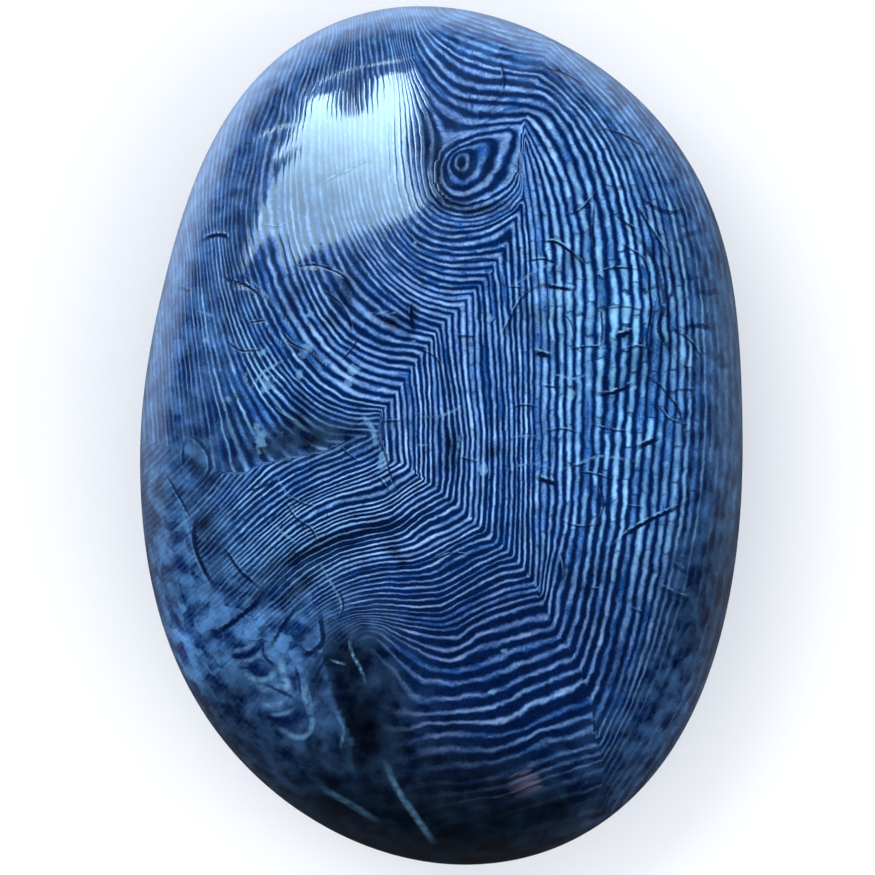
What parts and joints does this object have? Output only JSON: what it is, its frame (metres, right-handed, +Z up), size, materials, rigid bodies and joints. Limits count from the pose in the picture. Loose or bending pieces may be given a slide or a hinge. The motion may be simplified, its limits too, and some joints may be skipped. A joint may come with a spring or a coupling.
{
  "type": "thumbprint agate palm stone",
  "caption": "Polished oval agate palm stone with fingerprint-like banding in blue, lying on a small flat spot of its underside.",
  "frame": {"origin": "on the surface that the stone rests on, below the middle of its bounding box", "axes": "+Z up through the thin way of the stone, +Y along its long way towards the narrower end, +X across it"},
  "size_m": [0.0492, 0.0702, 0.0322],
  "materials": {
    "agate_polished": "high polish over fine light and dark blue bands"
  },
  "bodies": {
    "root": {"agate": "agate_polished"}
  },
  "joints": []
}
